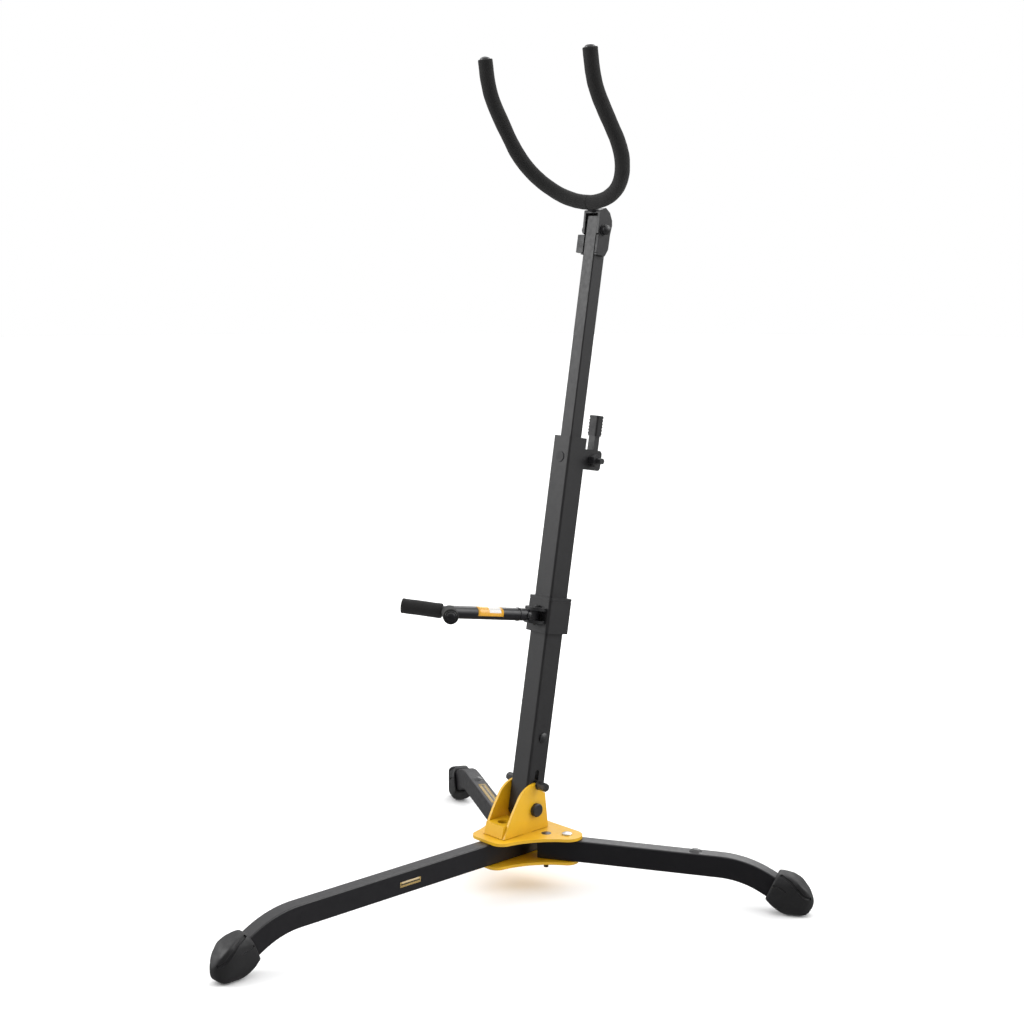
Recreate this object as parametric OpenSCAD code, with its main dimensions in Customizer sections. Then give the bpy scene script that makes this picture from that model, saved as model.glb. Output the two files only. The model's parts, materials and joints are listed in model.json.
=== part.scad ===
// Folding stand for a saxophone. A tripod hub carries a reclining column with a sliding mast,
// a swinging lower cradle and a folding padded yoke. Millimetres, +Z up, front along -Y.
// The origin is on the floor, in the middle of the stand's footprint.

/* [Hub] */
// height of the column's fold axis above the floor
pivot_z = 79.5; // [70:0.5:95]
// thickness of the hub plates and of the bent bracket
plate_t = 3; // [2:0.5:5]
// underside of the legs above the floor at the hub
leg_z = 31; // [25:0.5:45]
// distance of each rear leg's pivot from the centre plane
leg_pivot_x = 46.2; // [40:0.1:60]
// distance of the rear leg pivots behind the column's fold axis
leg_pivot_y = 16.2; // [5:0.1:30]
// outer radius of the two lobes that the column is locked behind
lobe_r = 28; // [25:0.5:30]
// inside width between the bracket's ears
ear_gap = 26; // [25.6:0.1:30]

/* [Legs] */
// width of the leg tube
leg_w = 16; // [12:0.5:25]
// height of the leg tube
leg_h = 22.5; // [16:0.5:30]
// wall thickness of the leg tube
leg_wall = 1.5; // [1:0.1:3]
// angle of each rear leg behind the sideways direction
leg_angle = 29; // [15:1:45]
// distance from a rear leg's pivot to where its foot touches the floor
leg_reach = 232; // [180:1:320]
// distance from the column's fold axis to the front foot's contact
front_reach = 365.5; // [280:0.5:450]
// angle that each leg bends down by
bend_angle = 28; // [15:1:40]
// radius of that bend on the tube's centre line
bend_r = 99; // [60:1:140]
// distance from the start of the bend to the foot's contact
bend_run = 72; // [55:1:90]

/* [Column] */
// outside of the square column tube
column_w = 25; // [20:0.5:32]
// wall of the column tube
column_wall = 1.5; // [1:0.1:2.5]
// backward lean of the column in use
lean = 9.7; // [0:0.1:20]
// top of the column tube, along the column from the fold axis
column_top = 387.5; // [300:0.5:450]
// outside of the square mast
mast_w = 16; // [12:0.5:20]
// centre of the yoke's cross bolt, along the column
yoke_bolt_s = 601.6; // [520:0.1:680]
// lower end of the mast, along the column
mast_foot_s = 290; // [280:1:300]

/* [Cradle] */
// centre of the cradle arm, along the column
arm_s = 201; // [150:1:260]
// distance of the arm's hinge pin in front of the column's centre line
arm_pin_y = 19.2; // [18:0.1:24]
// distance of the fork of the cradle in front of the column's centre line
fork_y = 139; // [100:1:180]
// diameter of the arm
arm_d = 13; // [10:0.5:16]
// angle of each prong from straight ahead
prong_angle = 50.7; // [35:0.1:70]
// length of each prong
prong_l = 47.4; // [35:0.1:70]
// outside diameter of the foam on the prongs and the yoke
foam_d = 15; // [12:0.5:22]

/* [Yoke] */
// radius of the yoke's curve on its centre line
yoke_r = 74; // [50:1:100]
// angle of the yoke's curve in front of the column's direction
yoke_tilt = 43.5; // [20:0.5:60]
// distance along the horns, from the bottom of the curve, to their upper bend
horn_l = 110; // [90:1:140]
// radius of the horns' upper bend
horn_bend_r = 90; // [50:1:120]
// angle of the horns' upper bend
horn_bend = 25; // [0:1:40]
// length of each horn past its upper bend
horn_tip = 15; // [10:1:30]
// diameter of the steel rod in the yoke
rod_d = 8; // [6:0.5:10]

/* [Hidden] */
$fn = 48;
fit = 0.05;         // radial clearance of a pin, a slide or a plug
gap = 0.3;          // clearance between pieces that pass each other
cut = 1;            // how far a cutting shape runs past a face
seam = 0.2;         // half length of the band that joins two stretches of a bent bar
band = 0.02;        // how far that band stands proud of the bar
big = 400;          // larger than any single piece

plate_low = leg_z - gap - plate_t;              // underside of the bottom plate
top_plate_z = leg_z + leg_h + gap;              // underside of the top plate
deck_z = top_plate_z + plate_t;                 // deck that the bracket stands on
leg_axis_z = leg_z + leg_h / 2;

// rubber boot, measured from the point that stands on the floor
boot_toe = 22.5;
boot_w = 25;
socket = 0.1;               // clearance round the tube in the boot

// plan of the stand: the origin is midway between the front toe and the rear toes
rear_toe_y = leg_pivot_y + leg_reach * sin(leg_angle)
    + norm([boot_toe * sin(leg_angle), boot_w / 2 * cos(leg_angle)]);
pivot_y = (front_reach + boot_toe - rear_toe_y) / 2;

leg_inner_r = 29.7;         // a rear leg runs this far inboard of its pivot
front_leg_inner = 24;       // the front leg runs this far behind the column's fold axis
rivet_d = 8;
bumper_r = 134.5;           // rubber bumper on a rear leg, from its pivot
bumper_d = 13;
button_r = 21.9;            // detent button in a rear leg, from its pivot
button_d = 9;
waist_r = 85;               // hollow between the hub plates' nose and lobes
front_bolt_d = 6;
front_bolt_y = [-31, -4];   // the front leg's two bolts, from the fold axis
plunger_d = 5;
cover_d = 9.5;

// centre of a rear leg's detent, from the fold axis
detent_x = leg_pivot_x - button_r * cos(leg_angle + 7);
detent_y = leg_pivot_y - button_r * sin(leg_angle + 7);

ear_t = plate_t;
ear_x = ear_gap / 2;
shelf_z = -9.5;             // top of the bracket's shelf, from the fold axis
ear_foot = -22.2;           // lower edge of the ears, a hairline above the deck
fold_bolt_d = 8;

column_edge = 2.5;          // rounding of the column's corners
stop_y = 1.6;               // stop screw behind the column's centre line
stop_s = 74.6;
stop_d = 5;

lock_y = -0.75;             // lock bar's place in front of the column's centre line
lock_s = 25.8;              // centre of the knobs, along the column
lock_knob_d = 9.2;
lock_knob_l = 10.6;
lock_strap_t = 1.8;
lock_strap_w = 5.1;
lock_strap_s = lobe_r + 0.4;
notch_wall = 3.6;           // front wall of the notch, in front of the column's centre line
notch_floor = 22.5;

clamp_y = 22.3;             // clamp bolt behind the column's centre line
clamp_s = 366;
clamp_bolt_d = 6;
lug_t = 3;
lever_w = 9;
pad_half = 5;
lever_y = 34.5;

collar_w = 32.4;
collar_s = [183.6, 220.4];
pin_d = 5;
lug_r = 11.75;
eye_r = 4.6;
blade_h = 9.8;
stem_rivet_t = 15;          // rivet and ring along the arm, from its pin
ring_t = 25.3;
prong_d = 10;
sleeve_start = 6.5;         // foam starts this far along a prong

mast_top_r = 15.1;          // the mast's end is rounded about the yoke's bolt
mast_wall = 1.5;
yoke_bolt_y = -0.5;
yoke_bolt_d = 6;
cheek_in = 8.6;
cheek_out = 11.2;
rod_y = -14.5;              // bottom of the yoke's rod
rod_s = 627.5;
stub_d = 11;
stub_tilt = 40;
cap_d = 12;
cap_t = 2.4;                // depth of a cap in its sleeve

steel_grey = [0.30, 0.30, 0.31];
steel_black = [0.16, 0.16, 0.18];
hub_yellow = [0.97, 0.72, 0.05];
foam_black = [0.17, 0.17, 0.17];
rubber_black = [0.08, 0.08, 0.09];
hardware_black = [0.10, 0.10, 0.11];
bright_steel = [0.75, 0.75, 0.76];
label_white = [0.93, 0.93, 0.90];

// ---------------------------------------------------------------- places

// Puts children in the fold axis's frame, level with the floor.
module at_pivot() {
    translate([0, pivot_y, pivot_z]) children();
}

// Puts children in the column's frame: z runs up the column and -y is its front.
module on_column(s = 0, y = 0) {
    at_pivot() rotate([-lean, 0, 0]) translate([0, y, s]) children();
}

// Puts children on the floor under a rear leg's pivot, with x along that leg. side is 1 or -1.
module on_rear_leg(side) {
    mirror([side < 0 ? 1 : 0, 0, 0])
        translate([leg_pivot_x, pivot_y + leg_pivot_y, 0])
            rotate([0, 0, leg_angle]) children();
}

// Puts children on the floor under the fold axis, with x along the front leg.
module on_front_leg() {
    translate([0, pivot_y, 0]) rotate([0, 0, -90]) children();
}

// Turns z to point along x, for bolts and pins that run across the stand.
module across(x = 0) {
    translate([x, 0, 0]) rotate([0, 90, 0]) children();
}

// ---------------------------------------------------------------- shared shapes

// Rectangle with round corners, centred.
module rounded_rect(w, h, r) {
    square([w - 2 * r, h], center = true);
    square([w, h - 2 * r], center = true);
    for (sx = [-1, 1], sy = [-1, 1])
        translate([sx * (w / 2 - r), sy * (h / 2 - r)]) circle(r);
}

// Square tube or sleeve that runs along z.
module square_tube(w, inner, low, high, r = column_edge) {
    translate([0, 0, low]) linear_extrude(high - low) difference() {
        rounded_rect(w, w, r);
        rounded_rect(inner, inner, 1);
    }
}

// Block given by its lowest and highest corners.
module block(low, high) {
    translate(low) cube(high - low);
}

// Shallow dome of the given diameter and rise, standing on z = 0.
module dome(d, rise) {
    ball_r = (d * d / 4 + rise * rise) / (2 * rise);
    intersection() {
        translate([0, 0, rise - ball_r]) sphere(ball_r, $fn = 96);
        cylinder(d = d, h = rise + cut);
    }
}

// Button head or rivet head: a short rim with a dome on it.
module round_head(d, h) {
    cylinder(d = d, h = h / 2);
    translate([0, 0, h / 2]) dome(d, h / 2);
}

// Hexagonal nut with a hole, standing on z = 0.
module hex_nut(d, h, hole) {
    difference() {
        cylinder(d = d, h = h, $fn = 6);
        translate([0, 0, -cut]) cylinder(d = hole, h = h + 2 * cut);
    }
}

// ---------------------------------------------------------------- hub

// Centre of the circle of radius r that touches circles a and b from outside, on the right of a walk
// from a to b.
function outside_touching(a, b, r) =
    let (d = [b[0] - a[0], b[1] - a[1]],
         ra = a[2] + r,
         rb = b[2] + r,
         along = (ra * ra - rb * rb + d * d) / (2 * norm(d)),
         turn = atan2(d[1], d[0]) - acos(along / ra))
    [a[0] + ra * cos(turn), a[1] + ra * sin(turn)];

// Point just inside circle a, beside the place where a circle centred on c touches it from outside.
function inside_touch(a, c) =
    let (d = [c[0] - a[0], c[1] - a[1]])
    [a[0], a[1]] + (a[2] - 3 * fit) / norm(d) * d;

// Hub plate: a broad nose in front, a lobe round each rear leg pivot and a waist between them.
module hub_plate(nose, lobe_r) {
    lobe = [leg_pivot_x, leg_pivot_y, lobe_r];
    waist = outside_touching(nose, lobe, waist_r);
    ends = [inside_touch(nose, waist), inside_touch(lobe, waist)];
    right = [[nose[0], nose[1] - nose[2]], nose, ends[0], ends[1], lobe, [lobe[0], lobe[1] + lobe_r]];
    translate([0, pivot_y, 0]) difference() {
        union() {
            difference() {
                linear_extrude(plate_t) polygon([for (p = right) [p[0], p[1]],
                    for (i = [len(right) - 1 : -1 : 0]) [-right[i][0], right[i][1]]]);
                for (side = [-1, 1]) translate([side * waist[0], waist[1], -cut])
                    cylinder(r = waist_r - fit, h = plate_t + 2 * cut, $fn = 192);
            }
            for (side = [-1, 1], c = [nose, lobe]) translate([side * c[0], c[1], 0])
                cylinder(r = c[2], h = plate_t);
        }
        for (side = [-1, 1]) translate([side * leg_pivot_x, leg_pivot_y, -cut])
            cylinder(d = rivet_d + 2 * fit, h = plate_t + 2 * cut);
        for (y = front_bolt_y) translate([0, y, -cut])
            cylinder(d = front_bolt_d + 2 * fit, h = plate_t + 2 * cut);
    }
}

module bottom_plate() {
    color(hub_yellow) translate([0, 0, plate_low]) difference() {
        hub_plate([8, -47, 11], 12);
        for (side = [-1, 1]) translate([side * detent_x, pivot_y + detent_y, -cut])
            cylinder(d = plunger_d + 2 * fit, h = plate_t + 2 * cut);
    }
}

module top_plate() {
    color(hub_yellow) translate([0, 0, top_plate_z]) difference() {
        hub_plate([12.5, -44, 13], 15.8);
        for (side = [-1, 1]) translate([side * detent_x, pivot_y + detent_y, -cut])
            cylinder(d = cover_d + 2 * fit, h = plate_t + 2 * cut);
    }
}

// Plastic covers pressed into the top plate over the rear legs' detents.
module detent_covers() {
    color(hardware_black) for (side = [0, 1]) mirror([side, 0, 0])
        translate([detent_x, pivot_y + detent_y, top_plate_z]) {
            cylinder(d = cover_d, h = plate_t);
            translate([0, 0, plate_t]) dome(cover_d + 1, 0.8);
        }
}

// Side view of one ear: y backward and z up from the fold axis.
module ear_outline() {
    polygon([[-44.5, ear_foot], [-38.3, shelf_z - 0.4], [-31.8, 2.2], [-24.2, 14],
        [0.2, notch_floor + 0.3], [13.8, 15.6], [18.3, ear_foot]]);
    rotate(-lean) intersection() {
        circle(lobe_r, $fn = 96);
        translate([-lobe_r, 0]) square([lobe_r - notch_wall, lobe_r]);
    }
}

// Bent sheet bracket: two ears, a shelf between them and a front flange.
module column_bracket() {
    tab_l = 13;
    hole_y = -31;
    hole_d = 11;
    color(hub_yellow) at_pivot() difference() {
        union() {
            for (side = [-1, 1]) translate([side > 0 ? ear_x : -ear_x - ear_t, 0, 0])
                rotate([90, 0, 90]) linear_extrude(ear_t) ear_outline();
            block([-ear_x, -42.3, shelf_z - plate_t], [ear_x, -14.2, shelf_z]);
            translate([-ear_x, 0, 0]) rotate([90, 0, 90]) linear_extrude(ear_gap)
                polygon([[-45, ear_foot], [-42, ear_foot], [-39.3, shelf_z], [-42.3, shelf_z]]);
            for (side = [-1, 1]) translate([side * (ear_x + ear_t / 2), 0, deck_z - pivot_z])
                block([-ear_t / 2, -18, 0], [ear_t / 2, -18 + tab_l, ear_foot + cut - deck_z + pivot_z]);
        }
        across(-big / 2) cylinder(d = fold_bolt_d + 2 * fit, h = big);
        translate([0, hole_y, shelf_z - plate_t - cut]) cylinder(d = hole_d, h = plate_t + 2 * cut);
    }
}

module front_leg_bolts() {
    head_d = 10;
    nut_h = 5;
    color(hardware_black) translate([0, pivot_y, 0]) for (y = front_bolt_y) translate([0, y, 0]) {
        translate([0, 0, plate_low - nut_h - cut])
            cylinder(d = front_bolt_d, h = deck_z - plate_low + nut_h + cut);
        translate([0, 0, deck_z]) round_head(head_d, 4);
        translate([0, 0, plate_low - nut_h]) cylinder(d = head_d, h = nut_h, $fn = 6);
    }
}

// Rivets that the rear legs turn on.
module leg_pivots() {
    head_d = 10.5;
    color(bright_steel) translate([0, pivot_y, 0]) for (side = [-1, 1])
        translate([side * leg_pivot_x, leg_pivot_y, 0]) {
            translate([0, 0, plate_low]) cylinder(d = rivet_d, h = deck_z - plate_low);
            translate([0, 0, deck_z]) round_head(head_d, 2.6);
            translate([0, 0, plate_low]) mirror([0, 0, 1]) round_head(head_d, 2.6);
        }
}

// Screwed plungers under the rear legs' inner ends.
module detent_plungers() {
    foot_l = 7;
    color(hardware_black) translate([0, pivot_y, 0]) for (side = [-1, 1])
        translate([side * detent_x, detent_y, plate_low - foot_l])
            cylinder(d = plunger_d, h = foot_l + plate_t);
}

// Bolt that the column folds on, with a broad flat head on the right.
module fold_bolt() {
    head_d = 14;
    head_h = 4.5;
    color(hardware_black) at_pivot() {
        across(-ear_x - ear_t - 8) cylinder(d = fold_bolt_d, h = 2 * (ear_x + ear_t) + 8);
        across(ear_x + ear_t) {
            cylinder(d = head_d, h = head_h - 1);
            translate([0, 0, head_h - 1]) cylinder(d1 = head_d, d2 = head_d - 2, h = 1);
        }
    }
}

module fold_nut() {
    color(hardware_black) at_pivot() across(-ear_x - ear_t) mirror([0, 0, 1])
        hex_nut(15, 6.5, fold_bolt_d + 2 * fit);
}

// ---------------------------------------------------------------- legs

// Bar of rounded rectangular section that runs along x from x = 0.
module bar(length, w, h, r) {
    rotate([90, 0, 90]) linear_extrude(length) rounded_rect(w, h, r);
}

// Solid bar on a leg's line: straight from inner to the bend, then down to the boot.
// reach is where the foot touches the floor, and over is added at both ends.
module leg_sweep(inner, reach, w, h, over = 0) {
    end_l = 11;
    r = 1.5;
    bend_x = reach - bend_run;
    translate([inner - over, 0, leg_axis_z]) bar(bend_x - inner + over, w, h, r);
    translate([bend_x, 0, leg_axis_z - bend_r]) rotate([-90, -90, 0])
        rotate_extrude(angle = bend_angle, $fn = 96) translate([bend_r, 0]) rounded_rect(h, w, r);
    translate([bend_x - seam, 0, leg_axis_z]) bar(2 * seam, w + 2 * band, h + 2 * band, r);
    translate([bend_x + bend_r * sin(bend_angle), 0, leg_axis_z - bend_r * (1 - cos(bend_angle))])
        rotate([0, bend_angle, 0]) {
            bar(end_l + over, w, h, r);
            translate([-seam, 0, 0]) bar(2 * seam, w + 2 * band, h + 2 * band, r);
        }
}

module leg_tube(inner, reach) {
    difference() {
        leg_sweep(inner, reach, leg_w, leg_h);
        leg_sweep(inner, reach, leg_w - 2 * leg_wall, leg_h - 2 * leg_wall, cut);
    }
}

module front_leg() {
    color(steel_black) difference() {
        on_front_leg() leg_tube(-front_leg_inner, front_reach);
        for (y = front_bolt_y) translate([0, pivot_y + y, leg_z - cut])
            cylinder(d = front_bolt_d + 2 * fit, h = leg_h + 2 * cut);
    }
}

// Faceted rubber boot. x = 0 is where it touches the floor and the leg comes in from -x.
module boot(reach) {
    half = boot_w / 2;
    difference() {
        intersection() {
            boot_side() polygon([[-25.3, 15.5], [-18.5, 9.5], [-12, 4], [-6, 0], [10, 0], [17.5, 3.5],
                [21.5, 9.5], [boot_toe, 16.5], [17.5, 26.3], [8.2, 35.9], [1.4, 39.9], [-7.7, 42.3],
                [-13.6, 42]]);
            linear_extrude(big) polygon([for (t = [-90 : 15 : 90]) [boot_toe * cos(t), half * sin(t)],
                [-16, half], [-26, 11.6], [-26, -11.6], [-16, -half]]);
            translate([-big / 2, 0, 0]) rotate([90, 0, 90]) linear_extrude(big)
                polygon([[-5.5, 0], [5.5, 0], [9.2, 2.6], [11.6, 7], [half, 12], [half, 26], [12, 33],
                    [9.8, 39.5], [6, 44], [-6, 44], [-9.8, 39.5], [-12, 33], [-half, 26], [-half, 12],
                    [-11.6, 7], [-9.2, 2.6]]);
        }
        translate([-reach, 0, 0])
            leg_sweep(reach - bend_run - cut, reach, leg_w + 2 * socket, leg_h + 2 * socket);
    }
}

// Extrudes a side view of the boot, drawn along the leg and up, across the boot.
module boot_side() {
    translate([0, boot_w / 2 + cut, 0]) rotate([90, 0, 0]) linear_extrude(boot_w + 2 * cut) children();
}

module front_foot() {
    color(rubber_black) on_front_leg() translate([front_reach, 0, 0]) boot(front_reach);
}

// Rear leg with holes for its rivet, its detent button and its bumper.
module rear_leg(side) {
    color(steel_black) difference() {
        on_rear_leg(side) leg_tube(-leg_inner_r, leg_reach);
        on_rear_leg(side) {
            translate([0, 0, leg_z - cut]) cylinder(d = rivet_d + 2 * fit, h = leg_h + 2 * cut);
            translate([bumper_r, 0, leg_axis_z]) cylinder(d = bumper_d / 2 + 2 * fit, h = leg_h);
        }
        on_detent(side) translate([0, 0, leg_axis_z]) cylinder(d = button_d + 2 * fit, h = leg_h);
    }
}

module rear_foot(side) {
    color(rubber_black) on_rear_leg(side) translate([leg_reach, 0, 0]) boot(leg_reach);
}

// Steel sleeve between the tube's walls that the rivet turns in.
module leg_sleeve(side) {
    color(bright_steel) on_rear_leg(side) translate([0, 0, leg_z + leg_wall]) difference() {
        cylinder(d = 9.8, h = leg_h - 2 * leg_wall);
        translate([0, 0, -cut]) cylinder(d = rivet_d + 2 * fit, h = leg_h + 2 * cut);
    }
}

// Puts children on the vertical line of a rear leg's detent.
module on_detent(side) {
    translate([side * detent_x, pivot_y + detent_y, 0]) children();
}

// Round button in the leg's top wall, under the hole in the top plate.
module leg_button(side) {
    button_h = 8;
    color(hardware_black) on_detent(side) translate([0, 0, leg_z + leg_h - button_h])
        cylinder(d = button_d, h = button_h);
}

// Glossy domed bumper plugged into the leg's top wall.
module leg_bumper(side) {
    stem_l = 6;
    color(rubber_black) on_rear_leg(side) translate([bumper_r, 0, leg_z + leg_h]) {
        dome(bumper_d, 3);
        translate([0, 0, -stem_l]) cylinder(d = bumper_d / 2, h = stem_l);
    }
}

// ---------------------------------------------------------------- column

// Lock bar's window through both side walls.
module lock_slot() {
    slot_w = lock_strap_w + 4 * fit;
    low = 22;
    high = 41;
    translate([0, lock_y, 0]) {
        block([-big / 2, -slot_w / 2, low + slot_w / 2], [big / 2, slot_w / 2, high - slot_w / 2]);
        for (s = [low + slot_w / 2, high - slot_w / 2])
            translate([0, 0, s]) across(-big / 2) cylinder(d = slot_w, h = big);
    }
}

module column_tube() {
    boss_d = 11;
    inner = column_w - 2 * column_wall;
    half = column_w / 2;
    color(steel_grey) on_column() difference() {
        intersection() {
            square_tube(column_w, inner, -half, column_top);
            union() {
                across(-half) cylinder(r = half, h = column_w, $fn = 96);
                block([-half, -half, 0], [half, half, column_top]);
            }
        }
        across(-big / 2) cylinder(d = fold_bolt_d + 2 * fit, h = big);
        lock_slot();
        translate([0, stop_y, stop_s]) across(-big / 2) cylinder(d = stop_d + 2 * fit, h = big);
        translate([0, 0, clamp_s]) rotate([90, 0, 0]) cylinder(d = boss_d + 2 * fit, h = half + cut);
        pad_window(half + cut);
    }
}

// Window for the clamp's pad, from the mast out to y = depth.
module pad_window(depth) {
    half = pad_half + fit;
    block([-half, 4, clamp_s - half], [half, depth, clamp_s + half]);
}

// Sleeve inside the column that turns on the fold bolt.
module fold_sleeve() {
    length = column_w - 2 * column_wall;
    color(bright_steel) on_column() across(-length / 2) difference() {
        cylinder(d = 12, h = length);
        translate([0, 0, -cut]) cylinder(d = fold_bolt_d + 2 * fit, h = length + 2 * cut);
    }
}

// Screw across the column that stops the mast's foot.
module stop_screw() {
    half = column_w / 2;
    color(hardware_black) on_column(stop_s, stop_y) {
        across(-half) cylinder(d = stop_d, h = column_w);
        across(half) round_head(10.5, 2.6);
        across(-half) mirror([0, 0, 1]) cylinder(d = 9, h = 3.5, $fn = 6);
    }
}

// Flat strap through the column and the notch, with a disc and a peg for each knob.
module lock_bar() {
    disc_x = ear_x + ear_t + 0.4;
    disc_t = 1;
    color(hardware_black) on_column(0, lock_y) {
        block([-disc_x - disc_t, -lock_strap_w / 2, lock_strap_s],
            [disc_x + disc_t, lock_strap_w / 2, lock_strap_s + lock_strap_t]);
        for (side = [0, 1]) mirror([side, 0, 0]) translate([0, 0, lock_s]) across(disc_x) {
            cylinder(d = lock_knob_d, h = disc_t);
            cylinder(d = 4, h = lock_knob_l);
        }
    }
}

// Hexagonal knobs on the lock bar's ends.
module lock_knobs() {
    knob_x = ear_x + ear_t + 1.4;
    color(hardware_black) on_column(lock_s, lock_y) for (side = [0, 1]) mirror([side, 0, 0])
        across(knob_x) difference() {
            union() {
                cylinder(d = lock_knob_d, h = lock_knob_l, $fn = 6);
                cylinder(d = lock_knob_d - 1.5, h = lock_knob_l + 0.6);
            }
            translate([0, 0, -cut]) cylinder(d = 4 + 2 * fit, h = lock_knob_l - 0.4 + cut);
        }
}

// ---------------------------------------------------------------- clamp

// Plastic guide in the column's mouth, with a round boss through the front wall.
module mast_bushing() {
    low = 347;
    boss_d = 11;
    outer = column_w - 2 * column_wall - 2 * fit;
    color(hardware_black) on_column() difference() {
        union() {
            square_tube(outer, mast_w + 2 * fit, low, column_top, 2);
            translate([0, -mast_w / 2 - 0.5, clamp_s]) rotate([90, 0, 0])
                cylinder(d = boss_d, h = column_w / 2 + 0.3 - mast_w / 2);
        }
        pad_window(column_w / 2);
    }
}

// Plastic pad that the lever's cam presses on the mast.
module clamp_pad() {
    color(hardware_black) on_column()
        block([-pad_half, mast_w / 2 + 3 * fit, clamp_s - pad_half],
            [pad_half, column_w / 2 - gap, clamp_s + pad_half]);
}

// Two plates behind the column, flush with its sides.
module clamp_lugs() {
    low = 355.5;
    high = 376.5;
    r = 4;
    back = 36;
    front = column_w / 2;
    color(steel_grey) on_column() for (side = [0, 1]) mirror([side, 0, 0])
        translate([front - lug_t, 0, 0]) difference() {
            union() {
                block([0, front - column_edge, low], [lug_t, back - r, high]);
                block([0, front, low + r], [lug_t, back, high - r]);
                for (s = [low + r, high - r]) translate([0, back - r, s]) across() cylinder(r = r, h = lug_t);
            }
            translate([0, clamp_y, clamp_s]) across(-cut)
                cylinder(d = clamp_bolt_d + 2 * fit, h = lug_t + 2 * cut);
            translate([lug_t - front, 0, low - cut]) linear_extrude(high - low + 2 * cut)
                rounded_rect(column_w + 2 * band, column_w + 2 * band, column_edge);
        }
}

module clamp_bolt() {
    half = column_w / 2;
    tip = 15;
    color(hardware_black) on_column(clamp_s, clamp_y) {
        across(-half) cylinder(d = clamp_bolt_d, h = column_w + tip);
        across(-half) mirror([0, 0, 1]) round_head(10, 4);
    }
}

module clamp_nut() {
    color(hardware_black) on_column(clamp_s, clamp_y) across(column_w / 2)
        hex_nut(13, 8, clamp_bolt_d + 2 * fit);
}

// Sleeves on the bolt that centre the lever between the lugs.
module clamp_spacers() {
    inner = lever_w / 2 + 0.2;
    outer = column_w / 2 - lug_t;
    color(bright_steel) on_column(clamp_s, clamp_y) for (side = [0, 1]) mirror([side, 0, 0])
        across(inner) difference() {
            cylinder(d = 9, h = outer - inner);
            translate([0, 0, -cut]) cylinder(d = clamp_bolt_d + 2 * fit, h = outer);
        }
}

// Cam lever: an eccentric on the bolt, an arm behind it and a stem that stands up.
module clamp_lever() {
    cam_r = 8.9;
    cam_offset = 0.9;
    stem_t = 7;
    stem_low = 362;
    stem_top = 391.5;
    tang_top = 408;
    half = lever_w / 2;
    color(hardware_black) on_column() difference() {
        union() {
            translate([0, clamp_y - cam_offset, clamp_s]) across(-half)
                cylinder(r = cam_r, h = lever_w, $fn = 96);
            block([-half, clamp_y, clamp_s - 5.5], [half, lever_y, clamp_s + 5.5]);
            block([-half, lever_y - stem_t / 2, stem_low], [half, lever_y + stem_t / 2, stem_top]);
            translate([0, lever_y, stem_low]) across(-half) cylinder(d = stem_t, h = lever_w);
            block([-3, lever_y - 2, stem_top - cut], [3, lever_y + 2, tang_top]);
        }
        translate([0, clamp_y, clamp_s]) across(-big / 2) cylinder(d = clamp_bolt_d + 2 * fit, h = big);
    }
}

// Ribbed plastic grip pushed on the lever's tang.
module lever_grip() {
    low = 391.5;
    high = 413;
    ribs = 5;
    rib_pitch = 3.4;
    color(rubber_black) on_column(0, lever_y) difference() {
        union() {
            translate([0, 0, low]) linear_extrude(high - low) rounded_rect(12.6, 8.9, 2);
            for (i = [0 : ribs - 1]) translate([0, 0, low + 2 + i * rib_pitch])
                linear_extrude(1.7) rounded_rect(13.4, 9.6, 2);
            translate([0, 0, high - 2.5]) linear_extrude(1.9) rounded_rect(13.4, 9.6, 2);
        }
        block([-3 - fit, -2 - fit, low - cut], [3 + fit, 2 + fit, 408 + fit]);
    }
}

// ---------------------------------------------------------------- cradle

// Thick square collar with a hollow for the arm's eye.
module collar() {
    groove_s = collar_s[1] - 3.6;
    color(steel_grey) on_column() difference() {
        square_tube(collar_w, column_w + 2 * fit, collar_s[0], collar_s[1], 3);
        translate([0, 0, groove_s]) linear_extrude(0.6) difference() {
            square(collar_w + cut, center = true);
            rounded_rect(collar_w - 0.8, collar_w - 0.8, 3);
        }
        translate([0, -arm_pin_y, arm_s - blade_h / 2 - gap]) cylinder(r = eye_r + 1, h = blade_h + 2 * gap);
    }
}

// Two half-round lugs on the collar's front, above and below the arm.
module arm_lugs() {
    color(hardware_black) on_column() for (side = [0, 1])
        translate([0, 0, arm_s]) mirror([0, 0, side]) translate([0, 0, blade_h / 2 + gap]) difference() {
            intersection() {
                union() {
                    translate([0, -arm_pin_y, 0]) cylinder(r = lug_r, h = plate_t);
                    block([-lug_r, -arm_pin_y, 0], [lug_r, -collar_w / 2, plate_t]);
                }
                block([-lug_r, -arm_pin_y - lug_r, 0], [lug_r, -collar_w / 2, plate_t]);
            }
            translate([0, -arm_pin_y, -cut]) cylinder(d = pin_d + 2 * fit, h = plate_t + 2 * cut);
        }
}

module arm_pin() {
    reach = blade_h / 2 + gap + plate_t;
    color(hardware_black) on_column(arm_s, -arm_pin_y) {
        translate([0, 0, -reach]) cylinder(d = pin_d, h = 2 * reach);
        for (side = [0, 1]) mirror([0, 0, side]) translate([0, 0, reach]) round_head(5.8, 2.2);
    }
}

// Puts children at the arm's pin with z along the arm and y up the column.
module along_arm(t = 0) {
    on_column(arm_s, -arm_pin_y) rotate([90, 0, 0]) translate([0, 0, t]) children();
}

// Puts children at the fork with z along one prong. side is 0 for the right one, 1 for the left.
module along_prong(side, t = 0) {
    mirror([side, 0, 0]) along_arm(fork_y - arm_pin_y) rotate([0, prong_angle, 0])
        translate([0, 0, t]) children();
}

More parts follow.
